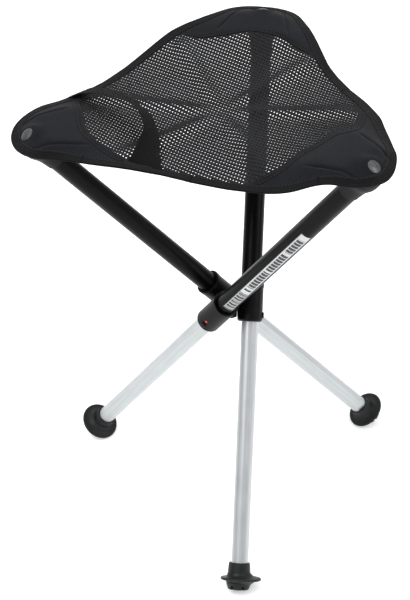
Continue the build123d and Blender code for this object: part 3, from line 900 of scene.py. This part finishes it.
def net_piece(leg, material):
    """The open net of one third: every hole is real."""
    lattice = np.array([turned((spacing, 0.0), turn) for spacing, turn in (NET_ROW, NET_COLUMN)])
    count = int(NET_LAYOUT * GRID_REACH / NET_ROW[0])
    steps = np.arange(-count, count + 1)
    cells = np.stack(np.meshgrid(steps, steps, indexing="ij"), -1).reshape(-1, 2)
    centres = cells @ lattice
    angle = np.degrees(np.arctan2(centres[:, 1], centres[:, 0]))
    gap, nearest = from_corner(angle)
    distance = np.hypot(centres[:, 0], centres[:, 1])
    limit = reach(INNER, angle) + NET_MARGIN
    covered = patch_reach(leg, gap) + NET_MARGIN
    low, high = patch_ends(leg)
    beside = (gap < low) | (gap > high)
    kept = (nearest == LEGS.index(leg)) & (distance < limit) & (beside | (distance < covered))
    cells = cells[kept]
    around = np.radians(np.arange(HOLE_SIDES) * (360.0 / HOLE_SIDES))
    ring = np.stack([np.cos(around), np.sin(around)], 1)
    border = np.round(ring) / 2
    half = NET_THICKNESS / 2
    crossing, waist = np.abs(border).min(1) * NET_CROSSING, np.full(HOLE_SIDES, -NET_WAIST)
    rings = []
    for shape, bulge in ((border, crossing), (ring * HOLE_SHARE, waist)):
        plan = ((cells[:, None, :] + shape[None]) @ lattice).reshape(-1, 2)
        thickness = half + np.tile(bulge, len(cells))
        rings += [on_seat(plan, thickness), on_seat(plan, -thickness)]
    size = len(cells) * HOLE_SIDES
    first = np.arange(size)
    after = first - first % HOLE_SIDES + (first + 1) % HOLE_SIDES
    top = np.stack([first, after, after + 2 * size, first + 2 * size], 1)
    wall = np.stack([first + 2 * size, after + 2 * size, after + 3 * size, first + 3 * size], 1)
    bottom = np.stack([first + size, first + 3 * size, after + 3 * size, after + size], 1)
    spots = np.round(2 * (cells[:, None, :] + border[None]).reshape(-1, 2)).astype(int)
    spots = spots[:, 0] * 8 * count + spots[:, 1]  # one number for each point of the lattice
    pairs = np.sort(np.stack([spots[first], spots[after]], 1), axis=1)
    _, same, uses = np.unique(pairs, axis=0, return_inverse=True, return_counts=True)
    rim = uses[same.ravel()] == 1
    rim = np.stack([first[rim], first[rim] + size, after[rim] + size, after[rim]], 1)
    faces = np.concatenate([top, wall, bottom, rim]).tolist()
    piece = make_mesh(f"seat_net_{leg}", np.concatenate(rings), faces, material)
    plan = cells @ lattice
    area = len(cells) * abs(np.linalg.det(lattice)) / seat_normal(plan)[:, 2].mean()
    declare_sheet(plan, area, leg)
    return piece


def binding_section():
    """The folded tape's section: distance in from the edge, then height, all the way round."""
    half = BINDING_THICKNESS / 2
    outer = [(half - half * sin(radians(a)), half * cos(radians(a))) for a in np.linspace(180, 0, 9)]
    top = [(e, half + 0.1 * sin(e * 2.4)) for e in np.linspace(half + 0.6, BINDING_WIDTH - 0.7, 12)]
    lip = [(BINDING_WIDTH, half * 0.55), (BINDING_WIDTH, -half * 0.55)]
    bottom = [(e, -half) for e in np.linspace(BINDING_WIDTH - 0.7, half + 0.6, 5)]
    return np.array(outer + top + lip + bottom)


def band_along(name, kept, material):
    """Binding tape over runs of the seat's outline."""
    section = binding_section()
    points, faces, uv = [], [], []
    along = np.arange(len(outline)) * OUTLINE_STEP
    for run in runs_of(kept):
        run = np.append(run, (run[-1] + 1) % len(outline))  # meets the next piece of tape
        start = len(points)
        edge, inwards, insets = outline[run][:, None, :], inward[run][:, None, :], section[None, :, 0, None]
        places = edge + inwards * insets
        anchor = edge + inwards * np.maximum(insets, BINDING_ANCHOR)
        base = on_seat(anchor, np.broadcast_to(section[None, :, 1], anchor.shape[:2]))
        base[..., :2] += places - anchor
        points += list(base.reshape(-1, 3))
        uv += [(section[j, 0], along[i]) for i in run for j in range(len(section))]
        faces += tube_faces(len(run), len(section), start)
    piece = make_mesh(name, np.array(points), faces, material, uv)
    smooth_by_angle(piece, 50)
    return piece


def runs_of(kept):
    """Index runs where a closed row of flags is set, joined across the row's end."""
    count = len(kept)
    if kept.all():
        return [np.arange(count)]
    start = int(np.flatnonzero(~kept)[0])
    order = (np.arange(count) + start) % count
    flags = kept[order]
    edges = np.flatnonzero(np.diff(np.concatenate([[0], flags.astype(int), [0]])))
    return [order[low : high + (0 if high >= count else 1)] for low, high in zip(edges[::2], edges[1::2])]


def stitch_row(name, plan, material, lift):
    """A row of short threads along a plan path."""
    steps = run_lengths(plan)
    middles = np.arange(STITCH_PITCH, steps[-1] - STITCH_PITCH / 2, STITCH_PITCH)
    angles = np.linspace(0, 2 * pi, STITCH_SIDES, endpoint=False)
    points, faces = [], []
    for middle in middles:
        start = len(points)
        for share, swell in STITCH_STATIONS:
            at = middle + share * STITCH_LENGTH
            here = np.array([np.interp(at, steps, plan[:, axis]) for axis in (0, 1)])
            ahead = np.array([np.interp(at + 0.5, steps, plan[:, axis]) for axis in (0, 1)])
            along = ahead - here
            side = np.array([-along[1], along[0]]) / max(np.linalg.norm(along), 1e-6)
            sink = 0.25 * (abs(share) * 2) ** 2
            for angle in angles:
                spot = here + side * cos(angle) * STITCH_WIDTH * 0.5 * swell
                points.append((*spot, lift - sink + sin(angle) * STITCH_WIDTH * 0.4 * swell))
        faces += tube_faces(len(STITCH_STATIONS), STITCH_SIDES, start)
    points = np.array(points)
    placed = on_seat(points[:, :2], points[:, 2])
    return make_mesh(name, placed, faces, material)


def smooth_path(points, count):
    """A Catmull-Rom curve through points with any number of columns."""
    points = np.array(points, float)
    padded = np.vstack([2 * points[0] - points[1], points, 2 * points[-1] - points[-2]])
    result = []
    for at in np.linspace(0, len(points) - 1 - 1e-9, count):
        i = int(at)
        t = at - i
        a, b, c, d = padded[i : i + 4]
        bend, twist = 2 * a - 5 * b + 4 * c - d, 3 * b - a - 3 * c + d
        result.append(0.5 * (2 * b + (c - a) * t + bend * t**2 + twist * t**3))
    return np.array(result)


def corner_band(material):
    """The elastic band that arches over corner a, sewn in at both edges."""
    path = smooth_path(BAND_POINTS, BAND_STEPS)
    turn = corner_turn["a"]
    spine = turned(path[:, :3], turn)
    tangent = np.gradient(spine, axis=0)
    tangent /= np.linalg.norm(tangent, axis=1, keepdims=True)
    inwards = turned((-1.0, 0.0, 0.0), turn)
    lean = np.radians(path[:, 3])[:, None]
    face = inwards * np.sin(lean) + np.array([0, 0, 1.0]) * np.cos(lean)
    across = np.cross(tangent, face)
    across /= np.linalg.norm(across, axis=1, keepdims=True)
    face = np.cross(across, tangent)
    thick = BAND_THICKNESS / 2
    top = [(x, thick * (1 - abs(2 * x) ** 6 * 0.7)) for x in np.linspace(-0.5, 0.5, 13)]
    bottom = [(x, -y) for x, y in reversed(top)]
    section = np.array(top + bottom)
    sideways = section[None, :, :1] * path[:, None, 4:]
    points = spine[:, None, :] + across[:, None, :] * sideways + face[:, None, :] * section[None, :, 1:]
    faces = tube_faces(len(spine), len(section))
    lengths = run_lengths(spine)
    uv = [(x * width, at) for width, at in zip(path[:, 4], lengths) for x in section[:, 0]]
    piece = make_mesh("corner_band_a", points.reshape(-1, 3), faces, material, uv)
    smooth_by_angle(piece, 50)
    return piece


# ---- dressing the CAD nodes


def dress(node, material):
    node.data.materials.clear()
    node.data.materials.append(material)


hub_plastic = moulded("collar_plastic", (0.0028, 0.0028, 0.0033), 0.36)
part_looks = {
    "upper_tube": tube_black(),
    "end_cap": moulded("cap_plastic", (0.009, 0.009, 0.01), 0.5),
    "collar": hub_plastic,
    "release_button": moulded("button_plastic", (0.006, 0.006, 0.0065), 0.3),
    "guide_bush": moulded("bush_plastic", (0.09, 0.09, 0.09), 0.5),
    "foot": foot_rubber(),
    "seat_rivet": rivet_metal(),
    "release_mark": release_red(),
    "button_spring": steel("spring_steel", 0.34),
}
dress(nodes["hub_core"], hub_plastic)
dress(nodes["pivot_pins"], steel("pin_steel", 0.28))
dress(nodes["leg_label"], label_film())
for leg in LEGS:
    dress(nodes[f"lower_tube_{leg}"], tube_silver(leg))
    for part, material in part_looks.items():
        dress(nodes[f"{part}_{leg}"], material)

# ---- the seat

patch_cloth = weave("patch_cloth", (0.0072, 0.0077, 0.01))
hem_cloth = weave("hem_cloth", (0.0045, 0.0047, 0.0056))
binding_tape = ribbed("binding_tape", (0.0035, 0.0036, 0.0044), 1.9)
band_elastic = ribbed("band_elastic", (0.002, 0.002, 0.0023), 1.4, roughness=0.8)
thread = moulded("thread", (0.045, 0.046, 0.052), 0.7, grain=3000)
net = net_yarn()

outline_angle = np.degrees(np.arctan2(outline[:, 1], outline[:, 0]))
_, outline_nearest = from_corner(outline_angle)
stitch_path = outline + inward * (BINDING_WIDTH - BINDING_STITCH_INSET)


def gather(piece, body, node=None):
    """Fixes a seat piece to its body, gives it a mesh of its own, and hides the CAD node it takes the place
    of, if any.
    """
    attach(piece, body)
    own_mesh(piece)
    if node:
        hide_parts(node)


for leg in LEGS:
    beyond = fold_distance(leg, outline + inward * (BINDING_WIDTH / 2)) > 0
    mine = outline_nearest == LEGS.index(leg)
    (corner, tail), tail_plan = patch_pieces(leg, patch_cloth)
    net_third = net_piece(leg, net)
    tape_tip = band_along(f"binding_tip_{leg}", mine & beyond, binding_tape)
    tape_sides = band_along(f"binding_sides_{leg}", mine & ~beyond, binding_tape)
    on_leg = [(corner, "patch_fabric", f"corner_patch_{leg}"), (tape_tip, "binding_fabric", None)]
    on_panel = [
        (tail, "patch_fabric", f"patch_tail_{leg}"),
        (net_third, "mesh_fabric", f"seat_mesh_{leg}"),
        (tape_sides, "binding_fabric", f"edge_binding_{leg}"),
    ]
    lift = BINDING_THICKNESS / 2 + 0.05
    for run in runs_of(mine & beyond):
        row = stitch_row(f"stitches_tip_{leg}", stitch_path[run], thread, lift)
        on_leg.append((row, "binding_fabric", None))
    for number, run in enumerate(runs_of(mine & ~beyond)):
        row = stitch_row(f"stitches_side{number}_{leg}", stitch_path[run], thread, lift)
        on_panel.append((row, "binding_fabric", None))
    edge_gaps = np.linspace(*patch_ends(leg), HEM_ROWS)
    hem_strip = hem_piece(leg, edge_gaps, hem_cloth)
    on_panel.append((hem_strip, "patch_fabric", None))
    for number, inset in enumerate((HEM_STITCH_INSET, HEM_WIDTH - HEM_STITCH_INSET)):
        distance = patch_reach(leg, edge_gaps) + inset
        hem = polar(distance, edge_gaps + corner_turn[leg])
        clear = distance < reach(INNER, edge_gaps + corner_turn[leg]) - 1
        clear &= fold_distance(leg, hem) < -1
        row = stitch_row(f"stitches_hem{number}_{leg}", hem[clear], thread, HEM_THICKNESS / 2 + 0.1)
        on_panel.append((row, "patch_fabric", None))
    declare_sheet(tail_plan, sheet_area(tail_plan), leg)
    for piece, slot, node in on_leg:
        gather(piece, f"leg_{leg}", node)
    for piece, slot, node in on_panel:
        gather(piece, f"panel_{leg}", node)

band = corner_band(band_elastic)
gather(band, "panel_a", "corner_band")

# ---- floor, light and camera


def add_floor():
    mesh = bpy.data.meshes.new("floor")
    corners = [(x * FLOOR_REACH, y * FLOOR_REACH, 0) for x, y in ((-1, -1), (1, -1), (1, 1), (-1, 1))]
    mesh.from_pydata(corners, [], [(0, 1, 2, 3)])
    floor = bpy.data.objects.new("floor", mesh)
    scene_collection.objects.link(floor)
    paint = Paint("floor_paper", (0.9, 0.9, 0.9), 0.9, specular=0.1)
    paint.tint(paint.noise(3, 2.0), (0.895, 0.895, 0.895), (0.905, 0.905, 0.905))
    paint.shader.inputs["Emission Color"].default_value = (1, 1, 1, 1)
    paint.shader.inputs["Emission Strength"].default_value = 0.4
    mesh.materials.append(paint.material)


def add_light(name, azimuth, elevation, distance, size, power):
    """A soft box that looks at the middle of the stool."""
    light = bpy.data.lights.new(name, "AREA")
    light.shape = "RECTANGLE"
    light.size, light.size_y = size
    light.energy = power
    holder = bpy.data.objects.new(name, light)
    a, e = radians(azimuth), radians(elevation)
    away = Vector((sin(a) * cos(e), -cos(a) * cos(e), sin(e)))
    target = Vector((hub[0], hub[1], 0.3))
    holder.location = target + away * distance
    holder.rotation_euler = away.to_track_quat("Z", "Y").to_euler()
    scene_collection.objects.link(holder)


def add_world():
    """A studio that is bright overhead and dim at the horizon."""
    world = bpy.data.worlds.new("studio")
    world.use_nodes = True
    tree = world.node_tree
    direction = tree.nodes.new("ShaderNodeTexCoord")
    parts = tree.nodes.new("ShaderNodeSeparateXYZ")
    glow = tree.nodes.new("ShaderNodeMapRange")
    glow.inputs["To Min"].default_value = 0.12
    glow.inputs["To Max"].default_value = 1.0
    tree.links.new(direction.outputs["Generated"], parts.inputs["Vector"])
    tree.links.new(parts.outputs["Z"], glow.inputs["Value"])
    tree.links.new(glow.outputs["Result"], tree.nodes["Background"].inputs["Strength"])
    tree.nodes["Background"].inputs["Color"].default_value = (1, 1, 1, 1)
    bpy.context.scene.world = world


VIEW_AZIMUTH = 8.56
VIEW_ELEVATION = 35.79
VIEW_ROLL = -2.79
VIEW_DISTANCE = 2.15906
VIEW_AIM = (-0.0281, 0.0062)  # sideways and upwards from the hub's pivots
VIEW_LENS = 108.69
SENSOR_WIDTH = 36.0

# Azimuth and elevation in degrees, distance and size in metres, and power of each light
LIGHTS = {
    "key": (-35, 55, 2.6, (1.1, 1.5), 38),
    "side": (80, 35, 2.6, (0.7, 1.8), 20),
    "back": (190, 45, 2.8, (2.0, 1.0), 16),
}


def add_camera():
    a, e, g = radians(VIEW_AZIMUTH), radians(VIEW_ELEVATION), radians(VIEW_ROLL)
    right = Vector((cos(a), sin(a), 0))
    back = Vector((sin(a) * cos(e), -cos(a) * cos(e), sin(e)))
    up = back.cross(right)
    across = right * cos(g) + up * sin(g)
    upright = up * cos(g) - right * sin(g)
    aim = Vector(hub) + right * VIEW_AIM[0] + Vector((0, 0, VIEW_AIM[1]))
    camera_data = bpy.data.cameras.new("camera")
    camera_data.lens = VIEW_LENS
    camera_data.sensor_width = SENSOR_WIDTH
    camera = bpy.data.objects.new("camera", camera_data)
    place = Matrix((across, upright, back)).transposed().to_4x4()
    place.translation = aim + back * VIEW_DISTANCE
    camera.matrix_world = place
    scene_collection.objects.link(camera)
    bpy.context.scene.camera = camera


add_floor()
for name, settings in LIGHTS.items():
    add_light(name, *settings)
add_world()
bpy.context.scene.view_settings.view_transform = "Standard"
add_camera()
